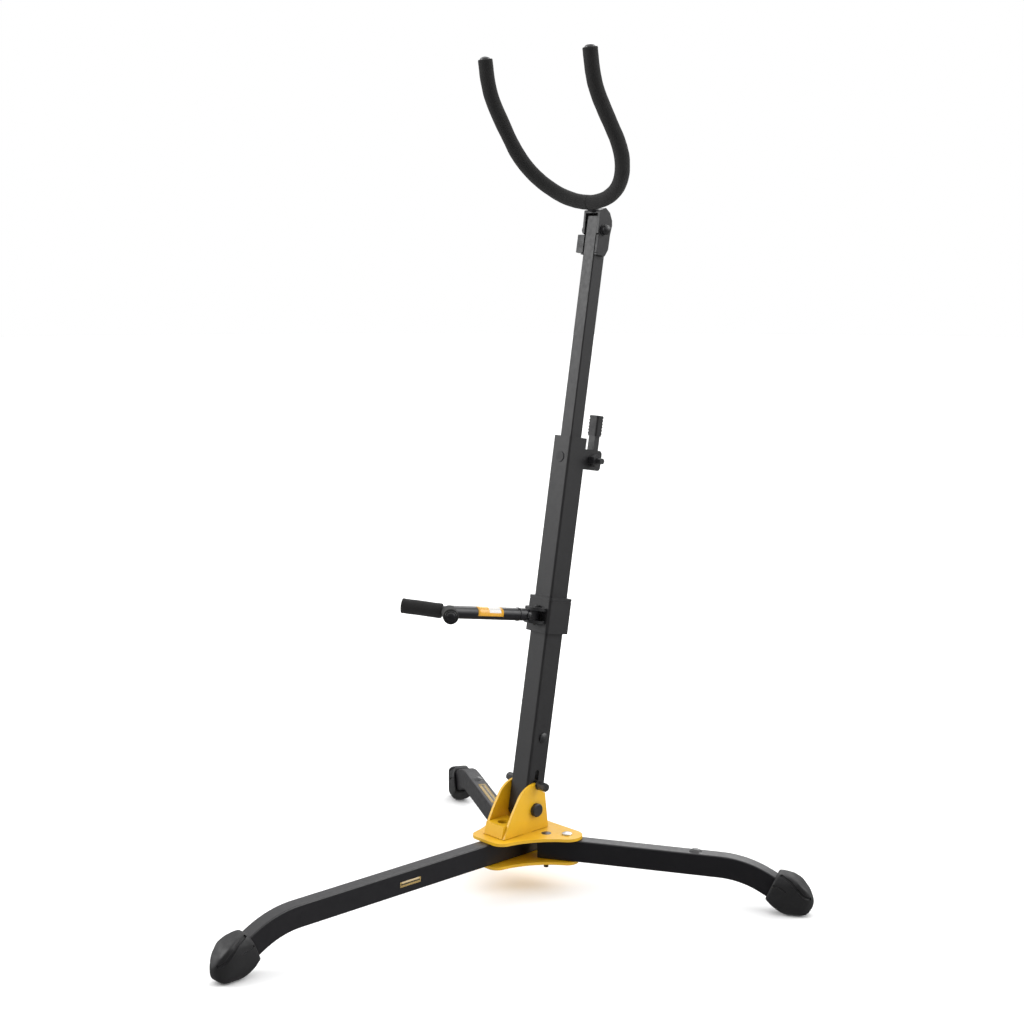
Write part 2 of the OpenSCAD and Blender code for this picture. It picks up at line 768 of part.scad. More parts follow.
// Arm with a flat eye at the pin, and the fork's two prongs.
module arm_stem() {
    cone_t = [12.2, 17];
    length = fork_y - arm_pin_y;
    color(steel_black) difference() {
        union() {
            along_arm() rotate([90, 0, 0]) translate([0, 0, -blade_h / 2]) cylinder(r = eye_r, h = blade_h);
            along_arm() block([-eye_r, -blade_h / 2, 0], [eye_r, blade_h / 2, cone_t[0] + cut]);
            along_arm(cone_t[0]) cylinder(d1 = 10.2, d2 = arm_d, h = cone_t[1] - cone_t[0]);
            along_arm(cone_t[1]) cylinder(d = arm_d, h = length - cone_t[1]);
            along_arm(length) sphere(d = arm_d);
            for (side = [0, 1]) along_prong(side) cylinder(d = prong_d, h = prong_l - cap_t - gap);
            for (side = [0, 1]) along_prong(side) cylinder(d1 = arm_d, d2 = prong_d, h = sleeve_start - 0.5);
        }
        on_column(arm_s, -arm_pin_y) translate([0, 0, -blade_h])
            cylinder(d = pin_d + 2 * fit, h = 2 * blade_h);
        stem_rivet_hole();
    }
}

module stem_rivet_hole() {
    along_arm(stem_rivet_t) across(0) cylinder(d = 4 + 2 * fit, h = arm_d);
}

// Crimped ring where the arm leaves its eye piece.
module stem_ring() {
    color(steel_black) along_arm(ring_t) difference() {
        cylinder(d = arm_d + 1, h = 1.6);
        translate([0, 0, -cut]) cylinder(d = arm_d + fit, h = 1.6 + 2 * cut);
    }
}

module stem_rivet() {
    color(hardware_black) along_arm(stem_rivet_t) {
        across(2) cylinder(d = 4, h = 4.7);
        across(6.7) round_head(6, 1.6);
    }
}

// Thin wrap-around label on the arm's upper right side, with no lettering.
module arm_label() {
    label_t = [51.5, 86];
    film = 0.2;
    color(label_white) along_arm(label_t[0]) rotate([0, 0, -20]) difference() {
        rotate_extrude(angle = 100, $fn = 96) translate([arm_d / 2 + 0.02, 0])
            square([film, label_t[1] - label_t[0]]);
    }
}

// Foam sleeves, hollowed for the caps.
module cradle_foam() {
    color(foam_black) for (side = [0, 1]) along_prong(side, sleeve_start) difference() {
        cylinder(d = foam_d, h = prong_l - sleeve_start);
        translate([0, 0, -cut]) cylinder(d = prong_d + 2 * fit, h = prong_l);
        translate([0, 0, prong_l - sleeve_start - cap_t]) cylinder(d = cap_d + 2 * fit, h = cap_t + cut);
    }
}

// Glossy cap for a sleeve's end, with its back on z = 0.
module end_cap(rise) {
    cylinder(d = cap_d, h = cap_t - gap);
    translate([0, 0, cap_t - gap]) dome(cap_d, rise);
}

module cradle_caps() {
    color(rubber_black) for (side = [0, 1]) along_prong(side, prong_l - cap_t + fit) end_cap(1.4);
}

// ---------------------------------------------------------------- mast

module mast() {
    bolt = [0, yoke_bolt_y, yoke_bolt_s];
    color(steel_grey) on_column() difference() {
        intersection() {
            square_tube(mast_w, mast_w - 2 * mast_wall, mast_foot_s, yoke_bolt_s + mast_top_r + cut, 1.5);
            union() {
                translate(bolt) across(-mast_w) cylinder(r = mast_top_r, h = 2 * mast_w, $fn = 96);
                block([-mast_w, -mast_w, mast_foot_s - cut], [mast_w, mast_w, yoke_bolt_s]);
            }
        }
        translate(bolt) across(-big / 2) cylinder(d = yoke_bolt_d + 2 * fit, h = big);
    }
}

// Plastic slider that plugs the mast's lower end and runs in the column.
module mast_foot() {
    slider = column_w - 2 * column_wall - 2 * fit;
    plug = mast_w - 2 * mast_wall - 2 * fit;
    color(hardware_black) on_column(mast_foot_s) {
        translate([0, 0, -12]) linear_extrude(12) rounded_rect(slider, slider, 2);
        linear_extrude(14) rounded_rect(plug, plug, 1);
    }
}

// ---------------------------------------------------------------- yoke

// Side view of a cheek: y backward, z up the column.
module cheek_outline() {
    polygon([[-10, 620], [-10, 617], [-9.2, 597], [-5.5, 596], [-5.5, 577], [-8, 576.6], [-8, 575.2],
        [4.8, 575.3], [8.7, 582.7], [8.9, 598], [10.2, 607.7], [9.3, 612.7], [4.9, 620], [-1.9, 624]]);
}

// Inverted U of bent sheet: two cheeks and a sloping web over the mast's end.
module yoke_bracket() {
    color(steel_grey) on_column() difference() {
        union() {
            for (side = [0, 1]) mirror([side, 0, 0]) translate([cheek_in, 0, 0])
                rotate([90, 0, 90]) linear_extrude(cheek_out - cheek_in) cheek_outline();
            translate([-cheek_in - cut, 0, 0]) rotate([90, 0, 90]) linear_extrude(2 * (cheek_in + cut))
                polygon([[-10, 617.4], [4.9, 617.4], [4.9, 620], [-1.9, 624], [-10, 620]]);
        }
        translate([0, yoke_bolt_y, yoke_bolt_s]) across(-big / 2)
            cylinder(d = yoke_bolt_d + 2 * fit, h = big);
    }
}

module yoke_bolt() {
    head_h = 6;
    color(hardware_black) on_column(yoke_bolt_s, yoke_bolt_y) {
        across(-cheek_out - 6) cylinder(d = yoke_bolt_d, h = 2 * cheek_out + 6);
        across(cheek_out) cylinder(d = 12, h = 0.8);
        across(cheek_out + 0.8) round_head(10, head_h);
    }
}

module yoke_nut() {
    color(hardware_black) on_column(yoke_bolt_s, yoke_bolt_y) across(-cheek_out) mirror([0, 0, 1])
        difference() {
            union() {
                cylinder(d = 9, h = 4, $fn = 6);
                translate([0, 0, 4]) cylinder(d = 7.5, h = 2);
                translate([0, 0, 6]) dome(7.5, 2);
            }
            translate([0, 0, -cut]) cylinder(d = yoke_bolt_d + 2 * fit, h = 6 + cut + fit);
        }
}

// Black blocks in the cheeks' front edges; the left one ends in a thumb tab.
module yoke_latch() {
    low = 577.2;
    high = 595.6;
    front = -8.2;
    color(rubber_black) on_column() {
        block([cheek_in, front, low], [cheek_out, -5.5 - fit, high]);
        block([-cheek_out - cut, front, low], [-cheek_in, -5.5 - fit, high]);
        block([-18, front, low], [-cheek_out - fit, -4, high]);
    }
}

// Puts children in the yoke's own plane: x right, z up the horns, origin at the rod's lowest point.
module in_yoke() {
    on_column(rod_s, rod_y) rotate([yoke_tilt, 0, 0]) children();
}

// Curve of the yoke as a round bar: the right half, or the whole half circle.
module yoke_curve(d, angle) {
    translate([0, 0, yoke_r]) rotate([90, 0, 0]) rotate([0, 0, -angle])
        rotate_extrude(angle = angle, $fn = 96) translate([yoke_r, 0]) circle(d = d);
}

// Right horn as a round bar, ending short of the tip by back_off. Bands join its stretches.
module horn(d, back_off = 0) {
    for (z = [yoke_r, horn_l]) translate([yoke_r, 0, z - seam]) cylinder(d = d + 2 * band, h = 2 * seam);
    at_horn_end() translate([0, 0, -seam]) cylinder(d = d + 2 * band, h = 2 * seam);
    translate([yoke_r, 0, yoke_r]) cylinder(d = d, h = horn_l - yoke_r);
    translate([yoke_r, horn_bend_r, horn_l]) rotate([90, 0, -90])
        rotate_extrude(angle = horn_bend, $fn = 96) translate([horn_bend_r, 0]) circle(d = d);
    at_horn_end() cylinder(d = d, h = horn_tip - back_off);
}

// Puts children at the top of the right horn's upper bend, with z along the horn.
module at_horn_end() {
    translate([yoke_r, horn_bend_r * (1 - cos(horn_bend)), horn_l + horn_bend_r * sin(horn_bend)])
        rotate([-horn_bend, 0, 0]) children();
}

// Stub between the bracket's web and the rod.
module stub(d) {
    on_column(rod_s, rod_y) rotate([stub_tilt, 0, 0]) translate([0, 0, -20]) cylinder(d = d, h = 20);
}

// Everything on the mast's side of the web's upper face.
module below_web() {
    web_slope = atan2(4, 8.1);
    on_column(620, -10) rotate([web_slope, 0, 0]) block([-big / 2, -big / 2, -big], [big / 2, big / 2, 0]);
}

// Bent rod with its welded stub.
module yoke_rod() {
    color(hardware_black) {
        in_yoke() {
            yoke_curve(rod_d, 180);
            for (side = [0, 1]) mirror([side, 0, 0]) horn(rod_d, cap_t + gap);
        }
        difference() {
            stub(stub_d);
            below_web();
        }
    }
}

// One foam sleeve on each half of the rod, hollowed for its cap. They meet at the stub.
module yoke_foam() {
    color(foam_black) for (side = [0, 1]) mirror([side, 0, 0]) difference() {
        in_yoke() {
            yoke_curve(foam_d, 90);
            horn(foam_d);
        }
        in_yoke() {
            yoke_curve(rod_d + 2 * fit, 90);
            horn(rod_d + 2 * fit, -cut);
        }
        block([-cut, -big, 0], [gap / 4, big, 2 * big]);
        in_yoke() at_horn_end() translate([0, 0, horn_tip - cap_t]) cylinder(d = cap_d + gap, h = big);
        stub(stub_d + 2 * fit);
    }
}

module yoke_caps() {
    color(rubber_black) in_yoke() for (side = [0, 1]) mirror([side, 0, 0])
        at_horn_end() translate([0, 0, horn_tip - cap_t + fit]) end_cap(3.2);
}

bottom_plate();
top_plate();
column_bracket();
front_leg();
front_foot();
front_leg_bolts();
leg_pivots();
detent_plungers();
detent_covers();
fold_bolt();
fold_nut();
rear_leg(1);  // right_leg
rear_foot(1);  // right_foot
leg_sleeve(1);  // right_leg_sleeve
leg_button(1);  // right_leg_button
leg_bumper(1);  // right_leg_bumper
rear_leg(-1);  // left_leg
rear_foot(-1);  // left_foot
leg_sleeve(-1);  // left_leg_sleeve
leg_button(-1);  // left_leg_button
leg_bumper(-1);  // left_leg_bumper
column_tube();
fold_sleeve();
stop_screw();
lock_bar();
lock_knobs();
collar();
arm_lugs();
arm_pin();
arm_stem();
stem_ring();
stem_rivet();
arm_label();
cradle_foam();
cradle_caps();
mast_bushing();
clamp_pad();
clamp_lugs();
clamp_bolt();
clamp_nut();
clamp_spacers();
clamp_lever();
lever_grip();
mast();
mast_foot();
yoke_bracket();
yoke_bolt();
yoke_nut();
yoke_latch();
yoke_rod();
yoke_foam();
yoke_caps();
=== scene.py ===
import json
import math

import bmesh
import bpy
from mathutils import Matrix, Vector, noise
from mathutils.bvhtree import BVHTree


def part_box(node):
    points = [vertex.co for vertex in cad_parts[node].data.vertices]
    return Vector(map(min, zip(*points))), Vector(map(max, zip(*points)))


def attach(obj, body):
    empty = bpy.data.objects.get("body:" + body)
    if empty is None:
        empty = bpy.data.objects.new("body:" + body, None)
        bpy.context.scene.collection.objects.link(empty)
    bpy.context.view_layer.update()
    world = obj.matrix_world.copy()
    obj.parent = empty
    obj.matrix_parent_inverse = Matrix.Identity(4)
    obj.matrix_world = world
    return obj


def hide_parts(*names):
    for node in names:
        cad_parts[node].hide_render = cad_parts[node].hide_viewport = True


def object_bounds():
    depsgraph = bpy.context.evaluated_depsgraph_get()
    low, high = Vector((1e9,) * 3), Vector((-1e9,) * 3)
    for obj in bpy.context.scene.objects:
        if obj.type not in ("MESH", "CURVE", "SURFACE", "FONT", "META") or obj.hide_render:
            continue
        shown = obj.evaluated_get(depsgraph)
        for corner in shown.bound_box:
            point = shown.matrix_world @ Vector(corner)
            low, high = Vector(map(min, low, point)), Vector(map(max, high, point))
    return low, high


# Looks of a folding saxophone stand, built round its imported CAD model. Every CAD node gets a procedural
# material, and the foam sleeves, end caps, printed films and rubber boots are pieces of their own.
# Metres, +Z up, front along -Y, right along +X.

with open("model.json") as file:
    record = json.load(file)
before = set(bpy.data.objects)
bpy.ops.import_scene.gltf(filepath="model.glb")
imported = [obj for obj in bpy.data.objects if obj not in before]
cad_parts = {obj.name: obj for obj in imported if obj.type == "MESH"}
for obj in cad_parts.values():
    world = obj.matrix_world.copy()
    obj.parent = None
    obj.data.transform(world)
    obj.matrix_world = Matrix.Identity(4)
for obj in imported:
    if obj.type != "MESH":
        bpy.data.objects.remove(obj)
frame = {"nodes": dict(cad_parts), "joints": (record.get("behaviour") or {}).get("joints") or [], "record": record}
CAD_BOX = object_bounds()
NODES = frame["nodes"]
JOINTS = {joint["name"]: joint for joint in frame["joints"]}

RIGHT = Vector((1, 0, 0))
UP = Vector((0, 0, 1))
COLUMN_UP = Vector(JOINTS["mast_slide"]["axis"])
COLUMN_BACK = Vector((0, COLUMN_UP.z, -COLUMN_UP.y))
FOLD_AXIS = Vector(JOINTS["column_fold"]["pos_m"])
ARM_PIN = Vector(JOINTS["arm_swing"]["pos_m"])


def frame_matrix(origin, x, z):
    """Matrix of a local frame with the given origin, x direction and z direction."""
    y = z.cross(x)
    return Matrix.Translation(origin) @ Matrix((x, y, z)).transposed().to_4x4()


# ---------------------------------------------------------------- materials

RANGE_SOCKETS = ("From Min", "From Max", "To Min", "To Max")
NOISE_RANGE = (0.3, 0.7)    # values between which most of a noise texture lies
EDGE_RANGE = (0.995, 0.9)   # cosine between rounded and flat normal, on a face and on an edge


class Shader:
    """A Principled material with helpers that feed its sockets from procedural textures."""

    def __init__(self, name, roughness, **sockets):
        self.material = bpy.data.materials.new(name)
        self.material.use_nodes = True
        self.tree = self.material.node_tree
        self.bsdf = self.tree.nodes["Principled BSDF"]
        self.bsdf.inputs["Roughness"].default_value = roughness
        for socket, value in sockets.items():
            self.bsdf.inputs[socket.replace("_", " ")].default_value = value
        self.place = self.node("ShaderNodeTexCoord").outputs["Object"]
        self.last_normal = None

    def node(self, kind, **settings):
        made = self.tree.nodes.new(kind)
        for setting, value in settings.items():
            setattr(made, setting, value)
        return made

    def link(self, source, target):
        self.tree.links.new(source, target)

    def noise(self, scale, detail=2.0, stretch=(1, 1, 1)):
        """Noise in object space, as a value from 0 to 1. stretch squeezes it along each axis."""
        mapping = self.node("ShaderNodeMapping")
        mapping.inputs["Scale"].default_value = stretch
        texture = self.node("ShaderNodeTexNoise")
        texture.inputs["Scale"].default_value = scale
        texture.inputs["Detail"].default_value = detail
        self.link(self.place, mapping.inputs["Vector"])
        self.link(mapping.outputs["Vector"], texture.inputs["Vector"])
        return texture.outputs["Fac"]

    def spots(self, scale):
        """Distance to the nearest of scattered points, for pores and grains."""
        texture = self.node("ShaderNodeTexVoronoi")
        texture.inputs["Scale"].default_value = scale
        self.link(self.place, texture.inputs["Vector"])
        return texture.outputs["Distance"]

    def remap(self, value, low, high, to_low, to_high):
        """Value that goes smoothly from to_low to to_high as another goes from low to high."""
        made = self.node("ShaderNodeMapRange", interpolation_type="SMOOTHSTEP")
        for socket, number in zip(RANGE_SOCKETS, (low, high, to_low, to_high)):
            made.inputs[socket].default_value = number
        self.link(value, made.inputs["Value"])
        return made.outputs["Result"]

    def mix(self, amount, dark, light):
        """Colour between two colours or colour sockets."""
        made = self.node("ShaderNodeMix", data_type="RGBA")
        self.link(amount, made.inputs["Factor"])
        for socket, colour in (("A", dark), ("B", light)):
            target = [s for s in made.inputs if s.name == socket and s.type == "RGBA"][0]
            if isinstance(colour, bpy.types.NodeSocket):
                self.link(colour, target)
            else:
                target.default_value = (*colour, 1)
        return [s for s in made.outputs if s.type == "RGBA"][0]

    def colour(self, socket):
        """Sends a colour socket to the material's base colour."""
        self.link(socket, self.bsdf.inputs["Base Color"])

    def roughness(self, value, low, high):
        """Roughness between two levels, following a noise value."""
        self.link(self.remap(value, *NOISE_RANGE, low, high), self.bsdf.inputs["Roughness"])

    def bump(self, height, strength, depth):
        """Adds a bump of the given depth in metres, over any bump before it."""
        made = self.node("ShaderNodeBump")
        made.inputs["Strength"].default_value = strength
        made.inputs["Distance"].default_value = depth
        self.link(height, made.inputs["Height"])
        if self.last_normal is not None:
            self.link(self.last_normal, made.inputs["Normal"])
        self.last_normal = made.outputs["Normal"]
        self.link(self.last_normal, self.bsdf.inputs["Normal"])

    def edge_wear_and_painted_light(self, radius):
        """Mask that is 1 along sharp edges and 0 on the faces, for edges painted lighter or darker as highlight,
        shade and wear.
        """
        rounded = self.node("ShaderNodeBevel", samples=4)
        rounded.inputs["Radius"].default_value = radius
        flat = self.node("ShaderNodeNewGeometry")
        dot = self.node("ShaderNodeVectorMath", operation="DOT_PRODUCT")
        self.link(rounded.outputs["Normal"], dot.inputs[0])
        self.link(flat.outputs["Normal"], dot.inputs[1])
        return self.remap(dot.outputs["Value"], *EDGE_RANGE, 0, 1)


def shade(colour, factor):
    """The same colour, made brighter or darker."""
    return tuple(channel * factor for channel in colour)


def powder_coat(name, colour, roughness, edge=1.5):
    """Satin powder coat with slight mottle and orange peel, and edges painted edge times as bright: a painted
    highlight where edge is above 1, painted shade where it is below.
    """
    coat = Shader(name, roughness, Specular_IOR_Level=0.5)
    mottle = coat.mix(coat.noise(60, 4), shade(colour, 0.88), shade(colour, 1.12))
    # Painted highlight along the edges when edge is above 1, painted shade along them when it is below.
    coat.colour(coat.mix(coat.edge_wear_and_painted_light(0.0006), mottle, shade(colour, edge)))
    coat.roughness(coat.noise(220, 3), roughness - 0.05, roughness + 0.05)
    coat.bump(coat.noise(1400, 2), 0.25, 0.00012)
    coat.bump(coat.noise(320, 1), 0.15, 0.0002)
    return coat.material


def oxide(name, colour, roughness):
    """Black oxide or painted hardware with handling marks, and edges painted three times as bright, both wear and
    a painted highlight.
    """
    metal = Shader(name, roughness, Specular_IOR_Level=0.6)
    mottle = metal.mix(metal.noise(240, 5), shade(colour, 0.7), shade(colour, 1.4))
    # Edges painted bright: partly wear, partly a painted highlight.
    metal.colour(metal.mix(metal.edge_wear_and_painted_light(0.0004), mottle, shade(colour, 3)))
    metal.roughness(metal.noise(500, 4), roughness - 0.08, roughness + 0.1)
    metal.bump(metal.noise(1800, 2), 0.2, 0.0001)
    return metal.material


def zinc(name, colour):
    """Zinc-plated steel with level brush lines and cloudy passivation."""
    metal = Shader(name, 0.3, Metallic=1.0)
    clouds = metal.mix(metal.noise(180, 5), shade(colour, 0.75), shade(colour, 1.15))
    metal.colour(clouds)
    metal.roughness(metal.noise(700, 4), 0.22, 0.42)
    metal.bump(metal.noise(900, 2, (1, 1, 12)), 0.15, 0.0001)
    return metal.material


def moulded(name, colour, roughness, grain, depth):
    """Moulded rubber or plastic with a fine grain, paler along its edges."""
    rubber = Shader(name, roughness, Specular_IOR_Level=0.45)
    mottle = rubber.mix(rubber.noise(90, 4), shade(colour, 0.8), shade(colour, 1.25))
    rubber.colour(rubber.mix(rubber.edge_wear_and_painted_light(0.0009), mottle, shade(colour, 1.9)))
    rubber.roughness(rubber.noise(150, 4), roughness - 0.07, roughness + 0.07)
    rubber.bump(rubber.noise(grain, 3), 0.35, depth)
    return rubber.material


def glossy(name, colour):
    """Polished black plastic with faint ripples and fine rub marks."""
    plastic = Shader(name, 0.12, Specular_IOR_Level=0.6, Coat_Weight=0.3, Coat_Roughness=0.08)
    plastic.colour(plastic.mix(plastic.noise(300, 3), shade(colour, 0.8), shade(colour, 1.3)))
    plastic.roughness(plastic.noise(900, 5, (1, 6, 1)), 0.08, 0.2)
    plastic.bump(plastic.noise(260, 1), 0.08, 0.0002)
    return plastic.material


def foam(name, colour):
    """Closed-cell foam: matt, with an even skin of pores and a slow change of tone."""
    pore_scale = 1500
    sleeve = Shader(name, 0.85, Specular_IOR_Level=0.25, Sheen_Weight=0.05, Sheen_Roughness=0.6)
    tone = sleeve.mix(sleeve.noise(70, 3), shade(colour, 0.8), shade(colour, 1.2))
    pores = sleeve.remap(sleeve.spots(pore_scale), 0.1, 0.5, 0, 1)
    sleeve.colour(sleeve.mix(pores, tone, shade(colour, 1.4)))
    sleeve.roughness(sleeve.noise(800, 3), 0.8, 0.95)
    sleeve.bump(sleeve.spots(pore_scale), 0.5, 0.00025)
    sleeve.bump(sleeve.noise(300, 4), 0.4, 0.0004)
    return sleeve.material


def label_film(name, panel_colour, border, panel):
    """Printed film: a border round one plain panel between the given UV limits, with no lettering."""
    film = Shader(name, 0.3, Specular_IOR_Level=0.5, Coat_Weight=0.4, Coat_Roughness=0.15)
    split = film.node("ShaderNodeSeparateXYZ")
    film.link(film.node("ShaderNodeTexCoord").outputs["UV"], split.inputs["Vector"])
    inside = film.node("ShaderNodeMath", operation="MULTIPLY").outputs["Value"]
    for socket, axis, limits in zip(inside.node.inputs, "XY", panel):
        middle, half = (limits[0] + limits[1]) / 2, (limits[1] - limits[0]) / 2
        near = film.node("ShaderNodeMath", operation="COMPARE")
        near.inputs[1].default_value = middle
        near.inputs[2].default_value = half
        film.link(split.outputs[axis], near.inputs[0])
        film.link(near.outputs["Value"], socket)
    ground = film.mix(film.noise(300, 3), shade(border, 0.85), border)
    middle_part = film.mix(film.noise(400, 3), shade(panel_colour, 0.9), panel_colour)
    film.colour(film.mix(inside, ground, middle_part))
    film.roughness(film.noise(600, 3), 0.22, 0.38)
    film.bump(film.noise(500, 2), 0.1, 0.0001)
    return film.material


SLOT_MATERIALS = {
    # The last number of a powder coat paints its edges: painted shade on the yellow edges, painted highlight on
    # the legs' and column's edges.
    "hub_yellow": powder_coat("hub_yellow", (0.66, 0.37, 0.006), 0.42, 0.72),
    "leg_black": powder_coat("leg_black", (0.006, 0.0055, 0.0072), 0.34, 2.0),
    "column_grey": powder_coat("column_grey", (0.012, 0.0117, 0.0126), 0.42, 1.6),
    "black_hardware": oxide("black_hardware", (0.012, 0.012, 0.013), 0.38),
    "bright_steel": zinc("bright_steel", (0.62, 0.62, 0.63)),
    "rubber": moulded("rubber", (0.009, 0.0088, 0.0096), 0.55, 900, 0.0003),
    "gloss_black": glossy("gloss_black", (0.008, 0.008, 0.009)),
    "black_plastic": moulded("black_plastic", (0.013, 0.013, 0.014), 0.45, 1300, 0.0002),
    "foam": foam("foam", (0.0072, 0.0070, 0.0069)),
    "label": label_film("label", (0.60, 0.58, 0.55), (0.66, 0.33, 0.02),
                        panel=((0.10, 0.56), (0.30, 0.92))),
}
PRINT_GOLD = label_film("print_gold", (0.05, 0.04, 0.02), (0.38, 0.26, 0.085),
                        panel=((0.04, 0.96), (0.36, 0.64)))


def finish_cad_nodes():
    """Gives every CAD node the material of its slot in the record."""
    for part in frame["record"]["subparts"]:
        node = NODES[part["node"]]
        material = SLOT_MATERIALS[part["material_slot"]]
        if not node.material_slots:
            node.data.materials.append(material)
        for slot in node.material_slots:
            slot.material = material


# ---------------------------------------------------------------- mesh helpers

def piece(name, bm, slot, body, replaces=(), material=None):
    """Turns a bmesh into a smooth-shaded piece of the object that rides on a body."""
    mesh = bpy.data.meshes.new(name)
    bmesh.ops.recalc_face_normals(bm, faces=bm.faces)
    bm.to_mesh(mesh)
    bm.free()
    for face in mesh.polygons:
        face.use_smooth = True
    made = bpy.data.objects.new(name, mesh)
    bpy.context.scene.collection.objects.link(made)
    mesh.materials.append(material or SLOT_MATERIALS[slot])
    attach(made, body)
    if replaces:
        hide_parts(*replaces)
    return made


class Path:
    """A line through points, with a frame at every distance that does not twist."""

    def __init__(self, points, side):
        self.points = points
        self.lengths = [0.0]
        for a, b in zip(points, points[1:]):
            self.lengths.append(self.lengths[-1] + (b - a).length)
        self.tangents = [(points[min(i + 1, len(points) - 1)] - points[max(i - 1, 0)]).normalized()
                         for i in range(len(points))]
        self.sides = []
        for tangent in self.tangents:
            side = (side - tangent * side.dot(tangent)).normalized()
            self.sides.append(side)

    @property
    def length(self):
        return self.lengths[-1]

    def at(self, distance):
        """Point, side and cross direction at a distance along the path."""
        i = 0
        while i < len(self.lengths) - 2 and self.lengths[i + 1] < distance:
            i += 1
        span = self.lengths[i + 1] - self.lengths[i]
        share = (distance - self.lengths[i]) / span
        point = self.points[i].lerp(self.points[i + 1], share)
        tangent = self.tangents[i].lerp(self.tangents[i + 1], min(max(share, 0), 1)).normalized()
        side = self.sides[i].lerp(self.sides[i + 1], min(max(share, 0), 1))
        side = (side - tangent * side.dot(tangent)).normalized()
        return point, side, tangent.cross(side)


def ring_skin(rings):
    """Closed skin over rings of points, from the first ring to the last."""
    bm = bmesh.new()
    rows = [[bm.verts.new(spot) for spot in ring] for ring in rings]
    for a, b in zip(rows, rows[1:]):
        for k in range(len(a)):
            after = (k + 1) % len(a)
            bm.faces.new((a[k], a[after], b[after], b[k]))
    for row in (rows[0], rows[-1]):
        bm.faces.new(row)
    return bm


SWELLS = ((60, 1.0), (170, 0.5))        # noise that a swept skin swells by: scale and weight


def sweep(path, stations, segments=40, wave=0.0):
    """Closed skin round a path. stations are (distance, radius, how much of the wave shows)."""
    rings = []
    for distance, radius, share in stations:
        point, side, cross = path.at(distance)
        ring = []
        for k in range(segments):
            turn = 2 * math.pi * k / segments
            out = side * math.cos(turn) + cross * math.sin(turn)
            spot = point + out * radius
            swell = wave * share * sum(weight * noise.noise(spot * scale) for scale, weight in SWELLS)
            ring.append(spot + out * swell)
        rings.append(ring)
    return ring_skin(rings)


def lathe(profile, place, segments=48):
    """Closed skin turned round the local z axis of place. profile is (radius, height) from the bottom."""
    rings = []
    for radius, height in profile:
        ring = []
        for k in range(segments):
            turn = 2 * math.pi * k / segments
            spot = Vector((radius * math.cos(turn), radius * math.sin(turn), height))
            ring.append(place @ spot)
        rings.append(ring)
    return ring_skin(rings)


def apply_modifiers(obj):
    """Replaces an object's mesh by the mesh its modifiers give."""
    bpy.context.view_layer.update()
    evaluated = obj.evaluated_get(bpy.context.evaluated_depsgraph_get())
    mesh = bpy.data.meshes.new_from_object(evaluated)
    obj.modifiers.clear()
    obj.data = mesh


def smooth_by_angle(obj, degrees):
    """Smooth shading with sharp edges where faces meet at more than an angle."""
    for face in obj.data.polygons:
        face.use_smooth = True
    obj.data.set_sharp_from_angle(angle=math.radians(degrees))


# ---------------------------------------------------------------- foam sleeves

FOAM_R = 0.0075             # outside radius of the foam
FOAM_EDGE = 0.0012          # rounding of a sleeve's cut ends
FOAM_WAVE = 0.00035         # how far the foam's skin swells and sinks
STATION = 0.003             # spacing of the rings along a sleeve
CAP_R = 0.006               # radius of an end cap
CAP_DEPTH = 0.0024          # how deep a cap sits in the foam
CAP_GAP = 0.0002            # between a cap and the foam round it
BORE_GAP = 0.0001           # between the foam and the rod in it

# The yoke's bent rod, with the sizes that it has in the CAD part.
ROD_R = 0.004
YOKE_ROD_BOTTOM = (0.6275, -0.0145)     # up the column from the fold axis, and behind its centre line
YOKE_TILT = math.radians(43.5)
YOKE_R = 0.074              # of the half circle at the bottom
HORN_L = 0.110              # up the horns from the bottom of the curve to their upper bend
HORN_BEND_R = 0.090         # of that bend, and how far it turns the horn back
HORN_BEND = math.radians(25)
HORN_TIP = 0.015            # straight length past it
YOKE_START = 0.0001         # from the yoke's middle to where each half's sleeve starts
YOKE_START_EDGE = 0.0007    # rounding of the sleeves there

# The cradle's two prongs.
PRONG_R = 0.005
PRONG_ANGLE = math.radians(50.7)        # from the arm's own direction
PRONG_L = 0.0474            # from the fork to the end of the foam
PRONG_START = 0.0065        # from the fork to where a prong's sleeve starts
PRONG_START_EDGE = 0.0018
FORK_REACH = 0.1198         # from the arm's pin to the fork


def yoke_place():
    """Frame of the yoke: z up the horns, x to the right, origin at the rod's lowest point."""
    up, back = YOKE_ROD_BOTTOM
    origin = FOLD_AXIS + COLUMN_UP * up + COLUMN_BACK * back
    z = COLUMN_UP * math.cos(YOKE_TILT) - COLUMN_BACK * math.sin(YOKE_TILT)
    return frame_matrix(origin, RIGHT, z)


def horn_end_place():
    """Frame at the end of the right horn's upper bend, in the yoke's frame, with z along the horn."""
    back = HORN_BEND_R * (1 - math.cos(HORN_BEND))
    up = HORN_L + HORN_BEND_R * math.sin(HORN_BEND)
    return Matrix.Translation((YOKE_R, back, up)) @ Matrix.Rotation(-HORN_BEND, 4, "X")


def yoke_path(side):
    """Centre line of one half of the yoke, from the middle to the tip. side is 1 for the right half."""
    steps = 24
    local = []
    for i in range(steps + 1):
        turn = math.pi / 2 * i / steps
        local.append(Vector((YOKE_R * math.sin(turn), 0, YOKE_R * (1 - math.cos(turn)))))
    local.append(Vector((YOKE_R, 0, (YOKE_R + HORN_L) / 2)))
    for i in range(steps + 1):
        turn = HORN_BEND * i / steps
        back, up = HORN_BEND_R * (1 - math.cos(turn)), HORN_L + HORN_BEND_R * math.sin(turn)
        local.append(Vector((YOKE_R, back, up)))
    local.append(horn_end_place() @ Vector((0, 0, HORN_TIP)))
    place = yoke_place()
    return Path([place @ Vector((side * p.x, p.y, p.z)) for p in local], COLUMN_BACK)


